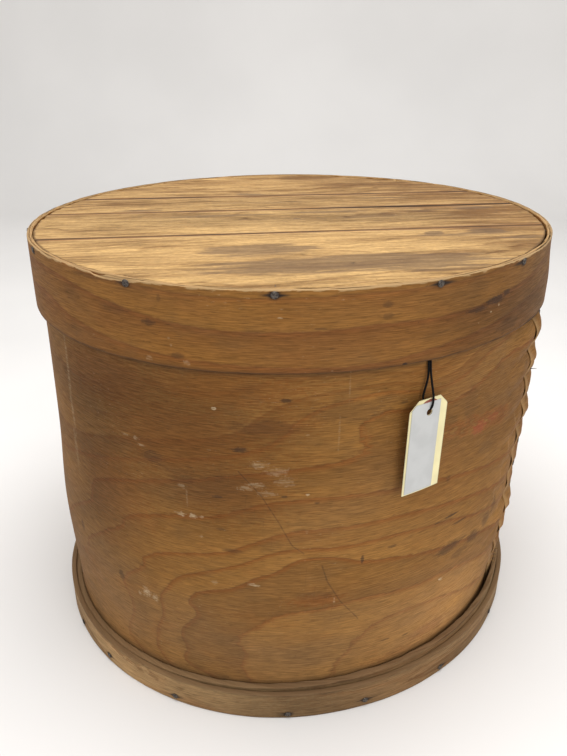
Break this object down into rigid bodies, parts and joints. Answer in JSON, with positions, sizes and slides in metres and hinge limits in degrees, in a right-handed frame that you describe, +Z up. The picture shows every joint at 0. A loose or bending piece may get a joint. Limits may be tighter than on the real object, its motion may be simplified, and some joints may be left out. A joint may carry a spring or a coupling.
{
  "type": "bentwood box with lift-off lid",
  "caption": "Round bentwood storage box with a lapped and stapled veneer wall, a nailed foot hoop and plank bottom, and a lift-off plank lid with a deep nailed rim.",
  "frame": {"origin": "centre of the box's underside, where the bottom boards meet the surface that it stands on", "axes": "+Z up, +X along the long axis of the slightly oval outline, +Y along its short axis"},
  "size_m": [0.4198, 0.397, 0.3256],
  "materials": {
    "wall_veneer": "aged rotary-cut veneer, bare and worn",
    "rim_wood": "aged bent veneer, bare and worn",
    "hoop_wood": "aged bent band, bare, greyed",
    "lid_board_wood": "weathered sawn board, bare",
    "bottom_board_wood": "sawn board, bare",
    "rusted_nail": "rust-blackened iron nail",
    "rusted_wire": "rust-blackened iron wire",
    "manila_card": "matt manila card",
    "label_paper": "matt white paper",
    "red_patch": "matt red fibre patch",
    "black_string": "black elastic thread"
  },
  "bodies": {
    "base": {"side_wall": "wall_veneer", "wall_seam_staples": "rusted_wire", "tag_staple": "rusted_wire", "hoop_inner_band": "hoop_wood", "hoop_outer_band": "hoop_wood", "hoop_nails": "rusted_nail", "hoop_joint_tacks": "rusted_nail", "bottom_board_1": "bottom_board_wood", "bottom_board_2": "bottom_board_wood", "bottom_board_3": "bottom_board_wood", "bottom_board_4": "bottom_board_wood"},
    "lid": {"lid_rim_inner_ply": "rim_wood", "lid_rim_outer_ply": "rim_wood", "rim_nails": "rusted_nail", "rim_joint_tacks": "rusted_nail", "lid_board_1": "lid_board_wood", "lid_board_2": "lid_board_wood", "lid_board_3": "lid_board_wood", "lid_board_4": "lid_board_wood"},
    "tag": {"tag_card": "manila_card", "tag_label": "label_paper", "tag_patch": "red_patch", "tag_string": "black_string"}
  },
  "joints": [
    {"name": "lid_lift", "type": "slide", "parent": "base", "child": "lid", "axis": [0, 0, 1], "range_m": [0, 0.12]},
    {"name": "tag_swing", "type": "hinge", "parent": "base", "child": "tag", "pos_m": [-0.07274, -0.17758, 0.2736], "axis": [-0.3469, -0.9379, 0], "range_deg": [-40, 40]}
  ]
}
